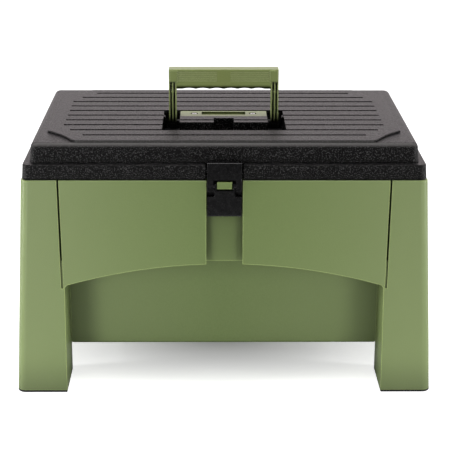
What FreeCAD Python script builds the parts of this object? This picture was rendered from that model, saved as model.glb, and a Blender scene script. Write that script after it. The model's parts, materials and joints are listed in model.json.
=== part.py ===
import FreeCAD, Part
import math
import os
import re

import Sketcher
from FreeCAD import Placement, Rotation, Vector

# Storage stool: a flared tub on four hollow legs, a hinged step lid with a fold-down
# carrying handle, and a swing latch on the front. Millimetres, +Z up, front towards -Y.

SIZES = {
    # Outer form of the body, which flares towards the floor
    "body_length": 402.9,
    "body_depth": 275.0,
    "rim_height": 211.8,
    "side_draft": 9.05,
    "corner_radius": 8.0,
    "wall": 3.0,
    "rim_thickness": 4.0,
    "rim_edge": 1.4,
    # How far joined pieces run into each other, and cutters past what they cut
    "joint_overlap": 0.5,
    "cutter_margin": 1.0,
    # Legs and their pads
    "leg_width": 48.55,
    "leg_depth": 55.5,
    "sole_thickness": 2.3,
    "sole_edge": 0.7,
    "plug_height": 10.0,
    "plug_gap": 0.15,
    # Storage space: a wide bin over a narrower tub, joined by a ledge
    "bin_inset": 7.3,
    "ledge_bottom": 130.1,
    "tub_bottom": 29.3,
    "tub_edge": 3.0,
    # Arched lower edges of the skirt and its upright slots
    "arch_spring": 108.4,
    "arch_rise": 21.9,
    "arch_corner": 5.0,
    "side_arch_rise": 8.4,
    "slot_width": 2.0,
    "slot_drop": 2.6,
    "slot_offset_low": 2.2,
    "slot_offset_top": 4.4,
    # Lid hinge at the back
    "hinge_offset": 4.25,
    "hinge_rise": 4.0,
    "hinge_spread": 105.0,
    "hinge_pin_radius": 2.0,
    "knuckle_radius": 4.2,
    "lid_knuckle": 20.0,
    "body_knuckle": 10.0,
    "knuckle_gap": 0.5,
    "knuckle_relief": 0.2,
    "lug_drop": 22.0,
    "lug_setback": 0.4,
    "lug_foot": 0.5,
    "web_clearance": 0.8,
    # Lid: a skirt, a smaller tier over it and a raised tread
    "lid_gap": 0.3,
    "lid_inset": 1.25,
    "lid_wall": 3.0,
    "lid_corner": 7.0,
    "lid_edge": 5.0,
    "lid_foot": 1.0,
    "skirt_height": 14.7,
    "skirt_draft": 0.8,
    "skirt_edge": 1.0,
    "tier_step": 6.9,
    "tier_draft": 1.6,
    "back_step": 1.9,
    "back_draft": 0.2,
    "lid_rise": 33.8,
    "lip_drop": 5.0,
    "lip_root": 3.0,
    "lip_clearance": 1.0,
    "rib_thickness": 2.0,
    "rib_depth": 13.0,
    "rib_pitch_x": 60.0,
    "rib_pitch_y": 47.0,
    "tread_length": 342.0,
    "tread_front": 115.5,
    "tread_back": 112.0,
    "tread_rise": 2.2,
    "tread_edge": 0.8,
    "tread_margin": 4.0,
    "scoop_length": 28.0,
    "scoop_depth": 40.0,
    "scoop_radius": 120.0,
    "scoop_tip": 6.0,
    "groove_pitch": 21.0,
    "groove_width": 4.2,
    "groove_depth": 1.8,
    "groove_length": 314.4,
    "groove_length_mid": 298.6,
    "groove_length_end": 271.0,
    # Well for the folded handle and the island inside it
    "well_width": 121.0,
    "well_front": -74.0,
    "well_back": 11.5,
    "well_depth": 18.5,
    "well_wall": 2.5,
    "island_front": -41.7,
    "notch_width": 20.0,
    "notch_back": -23.3,
    "nub_place": -5.0,
    "nub_length": 8.0,
    "nub_drop": 3.8,
    "nub_radius": 2.0,
    # Retainer plate and its screws
    "plate_front": -15.0,
    "plate_back": 8.7,
    "plate_thickness": 4.0,
    "plate_fit": 0.1,
    "plate_edge": 0.6,
    "dish_width": 44.4,
    "dish_front": -8.5,
    "dish_back": 5.0,
    "dish_depth": 2.0,
    "screw_spread": 29.6,
    "screw_place": -2.0,
    "screw_radius": 1.6,
    "screw_length": 10.0,
    "screw_head_radius": 2.5,
    "screw_head_height": 1.8,
    "screw_head_sink": 0.1,
    "cross_length": 3.0,
    "cross_width": 0.9,
    "cross_depth": 1.0,
    "screw_head_gap": 1.4,
    "screw_gap": 0.2,
    "boss_radius": 4.0,
    "boss_length": 9.0,
    # Carrying handle
    "pivot_place": -11.5,
    "pivot_drop": 6.2,
    "pivot_radius": 1.8,
    "pivot_engagement": 5.0,
    "pivot_end_gap": 0.5,
    "pin_clearance": 0.05,
    "flush_gap": 0.3,
    "outer_gap": 5.8,
    "inner_gap": 3.5,
    "arm_width": 7.5,
    "arm_back_reach": 5.0,
    "grip_reach": 54.9,
    "grip_height": 20.4,
    "grip_depth": 15.0,
    "grip_top_edge": 0.8,
    "grip_low_edge": 5.0,
    "finger_pitch": 13.9,
    "finger_depth": 1.5,
    "rib_width": 1.2,
    "arm_web": 2.0,
    "slot_reach": 42.0,
    "tie_reach": 32.2,
    "tie_radius": 1.4,
    "panel_width": 7.4,
    "panel_inset": 1.1,
    "panel_drop": 1.3,
    "panel_rise": 0.3,
    "line_pitch": 2.1,
    "line_width": 0.7,
    "line_depth": 0.4,
    "line_top": 3.0,
    "line_inner": 7.0,
    "line_outer": 46.5,
    # Latch
    "bay_gap": 1.0,
    "catch_width": 13.7,
    "catch_drop": 1.0,
    "lever_gap": 0.3,
    "latch_proud": 3.2,
    "bracket_width": 32.7,
    "bracket_rise": 2.7,
    "bracket_lift": 0.9,
    "bracket_fit": 0.1,
    "bracket_edge": 0.8,
    "leg_reach": 4.6,
    "leg_thickness": 6.1,
    "tail_thickness": 1.4,
    "tail_drop": 3.0,
    "latch_gap": 1.7,
    "peg_spread": 10.0,
    "peg_rise": 8.0,
    "peg_radius": 2.0,
    "peg_head_radius": 3.2,
    "peg_head_height": 1.5,
    "lever_setback": 0.2,
    "lever_thickness": 3.4,
    "pull_drop": 29.1,
    "shoulder_drop": 9.6,
    "shoulder_radius": 1.5,
    "lever_edge": 1.2,
    "neck_rise": 2.8,
    "neck_wall": 1.2,
    "neck_gap": 1.5,
    "window_gap": 1.2,
    "window_drop": 3.8,
    "window_room": 0.8,
    "trunnion_drop": 5.8,
    "trunnion_radius": 1.5,
    "trunnion_length": 4.0,
}

# Places worked out from the sizes above, each written once and used wherever pieces meet
FORMULAS = {
    "rim_x": "body_length / 2 - side_draft",
    "rim_y": "body_depth / 2 - side_draft",
    "rim_low": "rim_height - rim_thickness",
    "tub_x": "body_length / 2 - leg_width",
    "tub_y": "body_depth / 2 - leg_depth",
    "bin_x": "rim_x - bin_inset",
    "bin_y": "rim_y - bin_inset",
    "ledge_top": "ledge_bottom + wall",
    "slot_low": "arch_spring - slot_drop",
    "bay_x": "bracket_x + bay_gap",
    "hinge_y": "rim_y + hinge_offset",
    "hinge_z": "rim_height + hinge_rise",
    "hinge_bore": "hinge_pin_radius + pin_clearance",
    "hinge_length": "lid_knuckle + 2 * (knuckle_gap + body_knuckle)",
    "lid_base": "rim_height + lid_gap",
    "tier_base": "rim_height + skirt_height",
    "lid_top": "rim_height + lid_rise",
    "lid_x": "rim_x - lid_inset",
    "lid_y": "rim_y - lid_inset",
    "tier_x": "lid_x - tier_step",
    "tier_y": "lid_y - tier_step",
    "tier_back": "lid_y - back_step",
    "skin_bottom": "lid_top - lid_wall",
    "lip_x": "bin_x - wall - lip_clearance",
    "lip_y": "bin_y - wall - lip_clearance",
    "tread_top": "lid_top + tread_rise",
    "tread_x": "tread_length / 2 - scoop_length - tread_margin",
    "scoop_chord": "sqrt(scoop_length ^ 2 + scoop_depth ^ 2)",
    "scoop_reach": "sqrt(scoop_radius ^ 2 - (scoop_chord) ^ 2 / 4)",
    "well_x": "well_width / 2",
    "well_floor": "tread_top - well_depth",
    "island_x": "handle_x - arm_width - inner_gap",
    "plate_seat": "tread_top - plate_thickness",
    "screw_bore": "screw_head_radius + screw_head_gap",
    "screw_clear": "screw_radius + screw_gap",
    "screw_tip": "plate_seat - screw_length",
    "handle_x": "well_x - outer_gap",
    "pivot_z": "tread_top - pivot_drop",
    "socket_radius": "pivot_radius + pin_clearance",
    "grip_top": "pivot_z + grip_reach",
    "grip_low": "grip_top - grip_height",
    "grip_back": "pivot_place + pivot_drop - flush_gap",
    "grip_front": "grip_back - grip_depth",
    "arm_back": "pivot_place + arm_back_reach",
    "arm_middle": "(grip_front + arm_back) / 2",
    "arm_slot": "(arm_width - 3 * rib_width) / 2",
    "bracket_x": "bracket_width / 2",
    "latch_x": "bracket_x + latch_gap",
    "latch_y": "lid_y + latch_proud",
    "peg_z": "rim_height + peg_rise",
    "lever_front": "latch_y - lever_setback",
    "lever_back": "lever_front - lever_thickness",
    "catch_front": "lever_back - lever_gap",
    "trunnion_y": "(lever_front + lever_back) / 2",
    "trunnion_z": "rim_height - trunnion_drop",
    "lever_top": "trunnion_z + neck_rise",
    "lever_shoulder": "trunnion_z - shoulder_drop",
    "lever_low": "trunnion_z - pull_drop",
    "leg_low": "trunnion_z - leg_reach",
    "window_low": "trunnion_z - window_drop",
    "window_x": "catch_width / 2 + window_gap",
    "neck_x": "window_x + neck_wall",
    "socket_reach": "neck_x + trunnion_length",
    "catch_low": "window_low + window_room",
    "catch_top": "rim_height - catch_drop",
}

doc = FreeCAD.newDocument("storage_stool")
sheet = doc.addObject("Spreadsheet::Sheet", "Sizes")
for row, (alias, size) in enumerate(SIZES.items(), 1):
    sheet.set(f"A{row}", alias)
    sheet.set(f"B{row}", str(size))
    sheet.setAlias(f"B{row}", alias)
doc.recompute()


def formula(text):
    """Turn plain words into an expression on the sheet, opening each named formula on the way."""

    def swap(match):
        word = match.group(0)
        if word in FORMULAS:
            return f"({formula(FORMULAS[word])})"
        return f"Sizes.{word}" if word in SIZES else word

    return re.sub(r"[a-z][a-z_]*", swap, text)


def number(text):
    """Return what a formula comes to, for starting places and rounding radii."""
    return float(sheet.evalExpression(formula(text)))


def both(half):
    """Return the range that reaches the same way to each side of the middle."""
    return (f"-({half})", half)


def around(middle, width):
    """Return the range of a width centred on a place."""
    return (f"({middle}) - ({width}) / 2", f"({middle}) + ({width}) / 2")


def sided(sign, low, high):
    """Return a range, or its mirror image where sign is negative."""
    return (low, high) if sign > 0 else (f"-({high})", f"-({low})")


def flare_x(height, inset="0"):
    """Return the body's half length at a height, less an inset."""
    return f"(body_length / 2 - side_draft * ({height}) / rim_height - ({inset}))"


def flare_y(height, inset="0"):
    """Return the body's half depth at a height, less an inset."""
    return f"(body_depth / 2 - side_draft * ({height}) / rim_height - ({inset}))"


def flared(height, inset="0"):
    """Return the two ranges of the body's outline at a height, less an inset."""
    return both(flare_x(height, inset)), both(flare_y(height, inset))


def bind(item, **texts):
    """Bind properties to formulas; a double underscore in a name stands for a dot."""
    for name, text in texts.items():
        item.setExpression(name.replace("__", "."), formula(text))


def box(name, x, y, z):
    """Add a block that fills a range on each axis."""
    block = doc.addObject("Part::Box", name)
    for side, axis, (low, high) in (("Length", "x", x), ("Width", "y", y), ("Height", "z", z)):
        block.setExpression(side, formula(f"({high}) - ({low})"))
        block.setExpression(f"Placement.Base.{axis}", formula(low))
    return block


def taper(name, z, foot, head):
    """Add a block with sloping sides: foot and head are its x and y ranges at the two heights."""
    block = doc.addObject("Part::Wedge", name)
    block.Placement = Placement(Vector(), Rotation(Vector(1, 0, 0), 90))
    bind(block, Ymin=z[0], Ymax=z[1])
    for mark, (x, y) in (("", foot), ("2", head)):
        bind(block, **{f"X{mark}min": x[0], f"X{mark}max": x[1]})
        bind(block, **{f"Z{mark}min": f"-({y[1]})", f"Z{mark}max": f"-({y[0]})"})
    return block


TURNS = {
    "x": Rotation(Vector(0, 1, 0), 90),
    "y": Rotation(Vector(1, 0, 0), -90),
    "z": Rotation(),
}


def rod(name, axis, span, place, radius):
    """Add a cylinder along an axis, with its place on the other two axes in order."""
    cylinder = doc.addObject("Part::Cylinder", name)
    cylinder.Placement = Placement(Vector(), TURNS[axis])
    others = [letter for letter in "xyz" if letter != axis]
    bind(cylinder, Radius=radius, Height=f"({span[1]}) - ({span[0]})")
    for letter, text in [(axis, span[0]), *zip(others, place)]:
        cylinder.setExpression(f"Placement.Base.{letter}", formula(text))
    return cylinder


def fuse(name, *pieces):
    """Join overlapping pieces into one."""
    joined = doc.addObject("Part::MultiFuse", name)
    joined.Shapes = list(pieces)
    joined.Refine = True
    return joined


def cut(name, base, *tools):
    """Take tools away from a base."""
    result = doc.addObject("Part::Cut", name)
    result.Base = base
    result.Tool = tools[0] if len(tools) == 1 else fuse(f"{name}_tools", *tools)
    result.Refine = True
    return result


def rounded(name, base, radius, picked):
    """Round the edges that a test picks."""
    doc.recompute()
    edges = [n for n, edge in enumerate(base.Shape.Edges, 1) if picked(edge)]
    fillet = doc.addObject("Part::Fillet", name)
    fillet.Base = base
    fillet.Edges = [(n, number(radius), number(radius)) for n in edges]
    return fillet


def upright(edge):
    """Tell whether an edge runs mostly up and down."""
    low, high = edge.Vertexes[0].Point, edge.Vertexes[-1].Point
    return abs(high.z - low.z) > 0.8 * edge.Length


def level(height):
    """Return a test for the edges that lie at one height."""
    place = number(height)
    return lambda edge: all(abs(vertex.Z - place) < 1e-4 for vertex in edge.Vertexes)


def lengthwise(*heights):
    """Return a test for the edges along X at any of some heights."""
    places = [number(height) for height in heights]

    def picked(edge):
        low, high = edge.Vertexes[0].Point, edge.Vertexes[-1].Point
        along = abs(high.x - low.x) > 0.99 * edge.Length
        return along and any(abs(low.z - place) < 1e-4 for place in places)

    return picked


def crossways(*places):
    """Return a test for the edges along Y at some places on X, on either side, and on Z."""
    spots = [(number(x), number(z)) for x, z in places]

    def picked(edge):
        low, high = edge.Vertexes[0].Point, edge.Vertexes[-1].Point
        along = abs(high.y - low.y) > 0.99 * edge.Length
        return along and any(abs(abs(low.x) - x) + abs(low.z - z) < 1e-4 for x, z in spots)

    return picked


def named(label, item):
    """Give a finished piece the name that its file takes."""
    item.Label = label
    return item


RIBS_ACROSS = 6
RIBS_ALONG = 5
FINGER_WAVES = 6
GRIP_LINES = 5
SIGNS = (-1, 1)
SIDE = {-1: "left", 1: "right"}
END = {-1: "front", 1: "rear"}
REACH = {-1: "inner", 1: "outer"}


def arch_cutter(name, turn, half, rise, depth):
    """Add the space under an arch: upright sides, small rounded corners and one wide arc."""
    crown = f"(arch_spring + {rise})"
    bow = f"(({half}) ^ 2 + {rise} ^ 2) / (2 * {rise})"
    reach, corner, radius = number(half), number("arch_corner"), number(bow)
    centre = number(crown) - radius
    corner_z = centre + math.sqrt((radius - corner) ** 2 - (reach - corner) ** 2)
    swing = math.atan2(corner_z - centre, corner - reach)
    up = Vector(0, 0, 1)

    sketch = doc.addObject("Sketcher::SketchObject", f"{name}_outline")
    sketch.Placement = Placement(Vector(), turn)

    def line(start, end):
        sketch.addGeometry(Part.LineSegment(Vector(*start, 0), Vector(*end, 0)))

    def arc(middle, size, start, end):
        circle = Part.Circle(Vector(*middle, 0), up, size)
        sketch.addGeometry(Part.ArcOfCircle(circle, start, end))

    line((-reach, 0), (-reach, corner_z))
    arc((corner - reach, corner_z), corner, swing, math.pi)
    arc((0, centre), radius, math.pi - swing, swing)
    arc((reach - corner, corner_z), corner, 0, math.pi - swing)
    line((reach, corner_z), (reach, 0))
    line((reach, 0), (-reach, 0))
    for ends in ((0, 2, 1, 2), (1, 1, 2, 2), (2, 1, 3, 2), (3, 1, 4, 1)):
        sketch.addConstraint(Sketcher.Constraint("Tangent", *ends))
    sketch.addConstraint(Sketcher.Constraint("Coincident", 4, 2, 5, 1))
    sketch.addConstraint(Sketcher.Constraint("Coincident", 5, 2, 0, 1))
    sketch.addConstraint(Sketcher.Constraint("Vertical", 0))
    sketch.addConstraint(Sketcher.Constraint("Vertical", 4))
    sketch.addConstraint(Sketcher.Constraint("PointOnObject", 5, 1, -1))
    sketch.addConstraint(Sketcher.Constraint("Symmetric", 5, 1, 5, 2, -2))
    sketch.addConstraint(Sketcher.Constraint("PointOnObject", 2, 3, -2))
    sketch.addConstraint(Sketcher.Constraint("Equal", 1, 3))
    drives = (
        ("width", ("DistanceX", 5, 2, 5, 1, 2 * reach), f"2 * ({half})"),
        ("corner", ("Radius", 1, corner), "arch_corner"),
        ("bow", ("Radius", 2, radius), bow),
        ("centre_drop", ("DistanceY", 2, 3, -1, 1, -centre), f"{bow} - {crown}"),
    )
    for label, constraint, text in drives:
        index = sketch.addConstraint(Sketcher.Constraint(*constraint))
        sketch.renameConstraint(index, label)
        sketch.setExpression(f"Constraints.{label}", formula(text))

    cutter = doc.addObject("Part::Extrusion", name)
    cutter.Base = sketch
    cutter.DirMode = "Normal"
    cutter.Symmetric = True
    cutter.Solid = True
    bind(cutter, LengthFwd=depth)
    return cutter


def skirt_slots():
    """Add the upright slots that part the skirt's panels from the legs, front and rear."""
    slots = []
    for end in SIGNS:
        for side in SIGNS:
            low = around("tub_x + slot_offset_low", "slot_width")
            top = around("tub_x + slot_offset_top", "slot_width")
            through = sided(end, "bin_y", "body_depth / 2")
            slots.append(taper(
                f"slot_{END[end]}_{SIDE[side]}",
                ("slot_low", "rim_height"),
                (sided(side, *low), through),
                (sided(side, *top), through),
            ))
    return slots


def leg_walls():
    """Add the two inner walls of each leg, which end inside the skirt and meet at the tub's corner."""
    walls = []
    span = ("sole_thickness", "ledge_top")
    for end in SIGNS:
        for side in SIGNS:
            spot = f"{END[end]}_{SIDE[side]}"
            thick_x = sided(side, "tub_x", "tub_x + wall")
            thick_y = sided(end, "tub_y - wall", "tub_y")
            reach_x = [sided(side, "tub_x", flare_x(z, "wall / 2")) for z in span]
            reach_y = [sided(end, "tub_y - wall", flare_y(z, "wall / 2")) for z in span]
            walls.append(taper(f"leg_{spot}_inner", span, (thick_x, reach_y[0]), (thick_x, reach_y[1])))
            walls.append(taper(f"leg_{spot}_side", span, (reach_x[0], thick_y), (reach_x[1], thick_y)))
    return walls


def hinge_stations():
    """Return each hinge's side and middle."""
    return [(side, f"{side} * hinge_spread") for side in SIGNS]


def body_knuckle_range(side, outward):
    """Return the length of one body knuckle, on the inner or outer side of the lid's."""
    inner = "lid_knuckle / 2 + knuckle_gap"
    low, high = sided(outward, inner, f"{inner} + body_knuckle")
    return sided(side, f"hinge_spread + ({low})", f"hinge_spread + ({high})")


def body_lugs():
    """Add the knuckles on the body's back, each on a web that runs down the skirt."""
    lugs = []
    foot_z = "rim_height - lug_drop"
    outer = "hinge_y + knuckle_radius - knuckle_relief"
    for side in SIGNS:
        for outward in SIGNS:
            spot = f"{SIDE[side]}_{REACH[outward]}"
            x = body_knuckle_range(side, outward)
            foot_y = (flare_y(foot_z, "wall / 2"), flare_y(foot_z, "-lug_foot"))
            lugs.append(taper(
                f"lug_web_{spot}",
                (foot_z, "rim_height"),
                (x, foot_y),
                (x, ("rim_y - wall / 2", outer)),
            ))
            lugs.append(box(f"lug_neck_{spot}", x, ("rim_y + lug_setback", outer), ("rim_low", "hinge_z")))
            lugs.append(rod(f"lug_eye_{spot}", "x", x, ("hinge_y", "hinge_z"), "knuckle_radius"))
    return lugs


def hinge_bores(owner):
    """Add one drill along each hinge's axis."""
    length = "hinge_length + 2 * cutter_margin"
    return [
        rod(f"{owner}_bore_{SIDE[side]}", "x", around(middle, length), ("hinge_y", "hinge_z"), "hinge_bore")
        for side, middle in hinge_stations()
    ]


def make_body():
    """Body: flared skirt and legs outside, bin, ledge and tub inside, all one moulding."""
    block = taper(
        "flared_block",
        ("sole_thickness", "rim_height"),
        flared("sole_thickness"),
        flared("rim_height"),
    )
    block = rounded("flared_block_rounded", block, "corner_radius", upright)
    block = rounded("flared_block_softened", block, "rim_edge", level("rim_height"))
    hollow = taper("skirt_space", ("0", "rim_low"), flared("0", "wall"), flared("rim_low", "wall"))
    hollow = rounded("skirt_space_rounded", hollow, "corner_radius - wall", upright)
    skirt = cut("skirt", block, hollow)

    facing_front = Rotation(Vector(1, 0, 0), 90)
    facing_side = Rotation(Vector(1, 1, 1), 120)
    long_arch = arch_cutter("long_arch", facing_front, "tub_x", "arch_rise", "2 * body_depth")
    side_arch = arch_cutter("side_arch", facing_side, "(tub_y - wall)", "side_arch_rise", "2 * body_length")
    bay = box(
        "latch_bay",
        both("bay_x"),
        ("-body_depth / 2", "-(bin_y)"),
        ("arch_spring", "rim_height"),
    )
    skirt = cut("skirt_opened", skirt, long_arch, side_arch, bay, *skirt_slots())

    tub = box("tub_block", both("tub_x"), both("tub_y"), ("tub_bottom", "ledge_top"))
    tub = rounded("tub_block_rounded", tub, "tub_edge", level("tub_bottom"))
    upper = box("bin_block", both("bin_x"), both("bin_y"), ("ledge_bottom", "rim_height"))
    catch = box(
        "catch",
        both("catch_width / 2"),
        ("-(catch_front)", "-(bin_y - wall / 2)"),
        ("catch_low", "catch_top"),
    )
    joined = fuse("body_joined", skirt, tub, upper, catch, *leg_walls(), *body_lugs())
    bin_space = box(
        "bin_space",
        both("bin_x - wall"),
        both("bin_y - wall"),
        ("ledge_top", "rim_height + cutter_margin"),
    )
    tub_space = box(
        "tub_space",
        both("tub_x - wall"),
        both("tub_y - wall"),
        ("tub_bottom + wall", "ledge_top + cutter_margin"),
    )
    return named("stool_body", cut("body_cut", joined, bin_space, tub_space, *hinge_bores("body")))


def rect_sketch(body, name, height, x, y):
    """Add a rectangle on a level plane of a body, held by its four sides."""
    sketch = body.newObject("Sketcher::SketchObject", name)
    sketch.AttachmentSupport = [(body.Origin.OriginFeatures[3], "")]
    sketch.MapMode = "FlatFace"
    sketch.setExpression("AttachmentOffset.Base.z", formula(height))
    places = [(number(x[i]), number(y[j])) for i, j in ((0, 0), (1, 0), (1, 1), (0, 1))]
    for start, end in zip(places, places[1:] + places[:1]):
        sketch.addGeometry(Part.LineSegment(Vector(*start, 0), Vector(*end, 0)))
    for n in range(4):
        sketch.addConstraint(Sketcher.Constraint("Coincident", n, 2, (n + 1) % 4, 1))
        sketch.addConstraint(Sketcher.Constraint("Vertical" if n % 2 else "Horizontal", n))
    drives = (
        ("left", "DistanceX", 0, x[0]),
        ("front", "DistanceY", 0, y[0]),
        ("right", "DistanceX", 2, x[1]),
        ("back", "DistanceY", 2, y[1]),
    )
    for label, kind, line, text in drives:
        index = sketch.addConstraint(Sketcher.Constraint(kind, -1, 1, line, 1, number(text)))
        sketch.renameConstraint(index, label)
        sketch.setExpression(f"Constraints.{label}", formula(text))
    return sketch


def circle_sketch(body, name, height, places, radius):
    """Add circles of one size on a level plane of a body."""
    sketch = body.newObject("Sketcher::SketchObject", name)
    sketch.AttachmentSupport = [(body.Origin.OriginFeatures[3], "")]
    sketch.MapMode = "FlatFace"
    sketch.setExpression("AttachmentOffset.Base.z", formula(height))
    for n, (x, y) in enumerate(places):
        middle = Vector(number(x), number(y), 0)
        sketch.addGeometry(Part.Circle(middle, Vector(0, 0, 1), number(radius)))
        drives = (
            ("radius", Sketcher.Constraint("Radius", n, number(radius)), radius),
            ("across", Sketcher.Constraint("DistanceX", -1, 1, n, 3, middle.x), x),
            ("along", Sketcher.Constraint("DistanceY", -1, 1, n, 3, middle.y), y),
        )
        for label, constraint, text in drives:
            index = sketch.addConstraint(constraint)
            sketch.renameConstraint(index, f"{label}_{n}")
            sketch.setExpression(f"Constraints.{label}_{n}", formula(text))
    return sketch


def feature(body, kind, name, profile, length, downward=False):
    """Add a pad or pocket of a sketch to a body."""
    item = body.newObject(f"PartDesign::{kind}", name)
    item.Profile = profile
    item.Reversed = downward
    bind(item, Length=length)
    profile.Visibility = False
    return item


def dressed(body, kind, name, base, picked, **sizes):
    """Add a fillet or chamfer to the edges of a body's last feature that a test picks."""
    doc.recompute()
    item = body.newObject(f"PartDesign::{kind}", name)
    item.Base = (base, [f"Edge{n}" for n, edge in enumerate(base.Shape.Edges, 1) if picked(edge)])
    bind(item, **sizes)
    return item


def standing_at(x, y):
    """Return a test for the upright edge at a place."""
    corner = Vector(number(x), number(y), 0)

    def picked(edge):
        ends = [Vector(vertex.X, vertex.Y, 0) for vertex in edge.Vertexes]
        return upright(edge) and all(end.isEqual(corner, 1e-4) for end in ends)

    return picked


def make_foot(end, side):
    """Foot pad: a sole under the whole leg and a plug inside it."""
    spot = f"{END[end]}_{SIDE[side]}"
    body = doc.addObject("PartDesign::Body", f"foot_{spot}")
    sole_x = sided(side, "tub_x", "body_length / 2")
    sole_y = sided(end, "tub_y - wall", "body_depth / 2")
    sole = rect_sketch(body, f"sole_outline_{spot}", "0", sole_x, sole_y)
    pad = feature(body, "Pad", f"sole_{spot}", sole, "sole_thickness")
    corner = standing_at(f"{side} * body_length / 2", f"{end} * body_depth / 2")
    pad = dressed(body, "Fillet", f"sole_corner_{spot}", pad, corner, Radius="corner_radius")
    dressed(body, "Chamfer", f"sole_rim_{spot}", pad, level("0"), Size="sole_edge")
    plug_inset = "wall + plug_gap"
    plug_top = "sole_thickness + plug_height"
    outer_x, outer_y = flare_x(plug_top, plug_inset), flare_y(plug_top, plug_inset)
    plug_x = sided(side, "tub_x + wall + plug_gap", outer_x)
    plug_y = sided(end, "tub_y + plug_gap", outer_y)
    plug = rect_sketch(body, f"plug_outline_{spot}", "sole_thickness", plug_x, plug_y)
    plug = feature(body, "Pad", f"plug_{spot}", plug, "plug_height")
    corner = standing_at(f"{side} * {outer_x}", f"{end} * {outer_y}")
    dressed(body, "Fillet", f"plug_corner_{spot}", plug, corner, Radius=f"corner_radius - ({plug_inset})")
    return named(f"foot_pad_{spot}", body)


def tread_range(inset):
    """Return the tread's reach from front to back, less an inset."""
    return (f"-(tread_front - {inset})", f"tread_back - {inset}")


def tier_range(front_inset, back_inset):
    """Return the lid tier's reach from front to back, less an inset at each end."""
    return (f"-(tier_y - ({front_inset}))", f"tier_back - ({back_inset})")


def tread():
    """Raised step surface: a slab with hollowed corners and softened edges."""
    height = ("lid_top - lid_wall / 2", "tread_top")
    slab = box("tread_slab", both("tread_length / 2"), tread_range("0"), height)
    beyond_x = "tread_length / 2 - scoop_length / 2 + scoop_reach * scoop_depth / scoop_chord"
    beyond_y = "scoop_reach * scoop_length / scoop_chord - scoop_depth / 2"
    scoops = []
    for end, edge in zip(SIGNS, ("tread_front", "tread_back")):
        for side in SIGNS:
            centre = (f"{side} * ({beyond_x})", f"{end} * ({edge} + {beyond_y})")
            scoops.append(rod(f"scoop_{END[end]}_{SIDE[side]}", "z", height, centre, "scoop_radius"))
    slab = cut("tread_scooped", slab, *scoops)
    slab = rounded("tread_tips", slab, "scoop_tip", upright)
    return rounded("tread_softened", slab, "tread_edge", level("tread_top"))


def grooves():
    """Add the ten grooves across the tread, shorter towards the scooped corners."""
    lengths = ("groove_length",) * 3 + ("groove_length_mid", "groove_length_end")
    cuts = []
    for end in SIGNS:
        for n, length in enumerate(lengths):
            place = f"{end} * {n + 0.5} * groove_pitch"
            cuts.append(box(
                f"groove_{END[end]}_{'abcde'[n]}",
                both(f"{length} / 2"),
                around(place, "groove_width"),
                ("tread_top - groove_depth", "tread_top + cutter_margin"),
            ))
    return cuts


def lid_tier():
    """Upper part of the lid, stepped in at the front and sides and almost flush at the hinge side."""
    tier = taper(
        "lid_tier",
        ("tier_base - 2 * skirt_edge", "lid_top"),
        (both("tier_x"), tier_range("0", "0")),
        (both("tier_x - tier_draft"), tier_range("tier_draft", "back_draft")),
    )
    tier = rounded("lid_tier_rounded", tier, "lid_corner", upright)
    return rounded("lid_tier_edge", tier, "lid_edge", level("lid_top"))


def lid_form():
    """Outside of the lid: a set-in foot, the skirt, the smaller tier and the tread."""
    foot_half = (both("lid_x - lid_foot"), both("lid_y - lid_foot"))
    foot = taper("lid_foot_ring", ("lid_base", "lid_base + lid_foot * 2"), foot_half, foot_half)
    foot = rounded("lid_foot_rounded", foot, "lid_corner - lid_foot", upright)
    skirt = taper(
        "lid_skirt",
        ("lid_base + lid_foot", "tier_base"),
        (both("lid_x"), both("lid_y")),
        (both("lid_x - skirt_draft"), both("lid_y - skirt_draft")),
    )
    skirt = rounded("lid_skirt_rounded", skirt, "lid_corner", upright)
    skirt = rounded("lid_skirt_edge", skirt, "skirt_edge", level("tier_base"))
    return fuse("lid_form", foot, skirt, lid_tier(), tread())


def well_shell():
    """Add the block that the well's walls and floor are left in."""
    return box(
        "well_shell",
        both("well_x + well_wall"),
        ("well_front - well_wall", "well_back + well_wall"),
        ("well_floor - well_wall", "tread_top"),
    )


def lid_hollow(shell):
    """Space under the lid, which goes round the well."""
    low = box(
        "skirt_hollow",
        both("lid_x - lid_foot - lid_wall"),
        both("lid_y - lid_foot - lid_wall"),
        ("lid_base - cutter_margin", "tier_base - lid_wall"),
    )
    high = taper(
        "tier_hollow",
        ("lid_base - cutter_margin", "skin_bottom"),
        (both("tier_x - lid_wall"), tier_range("lid_wall", "lid_wall")),
        (
            both("tier_x - tier_draft - lid_wall"),
            tier_range("tier_draft + lid_wall", "back_draft + lid_wall"),
        ),
    )
    top = box(
        "tread_hollow",
        both("tread_x"),
        tread_range("tread_margin"),
        ("skin_bottom - cutter_margin", "tread_top - lid_wall"),
    )
    return cut("lid_hollow", fuse("lid_hollows", low, high, top), shell)


def lid_ribs(shell):
    """Grid of ribs under the lid, higher under the raised tread and left out where the well is."""
    reach_x = both("tier_x - tier_draft - lid_wall / 2")
    reach_y = tier_range("tier_draft + lid_wall / 2", "back_draft + lid_wall / 2")
    low = ("skin_bottom - rib_depth", "skin_bottom + joint_overlap")
    high = ("skin_bottom - rib_depth", "tread_top - lid_wall + joint_overlap")
    ribs = []
    for n in range(RIBS_ACROSS):
        x = around(f"{n - (RIBS_ACROSS - 1) / 2} * rib_pitch_x", "rib_thickness")
        ribs.append(box(f"rib_across_{n}", x, reach_y, low))
        if 0 < n < RIBS_ACROSS - 1:
            ribs.append(box(f"rib_across_top_{n}", x, tread_range("tread_margin"), high))
    for n in range(RIBS_ALONG):
        y = around(f"{n - (RIBS_ALONG - 1) / 2} * rib_pitch_y", "rib_thickness")
        ribs.append(box(f"rib_along_{n}", reach_x, y, low))
        ribs.append(box(f"rib_along_top_{n}", both("tread_x"), y, high))
    return cut("lid_ribs", fuse("rib_grid", *ribs), shell)


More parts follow.
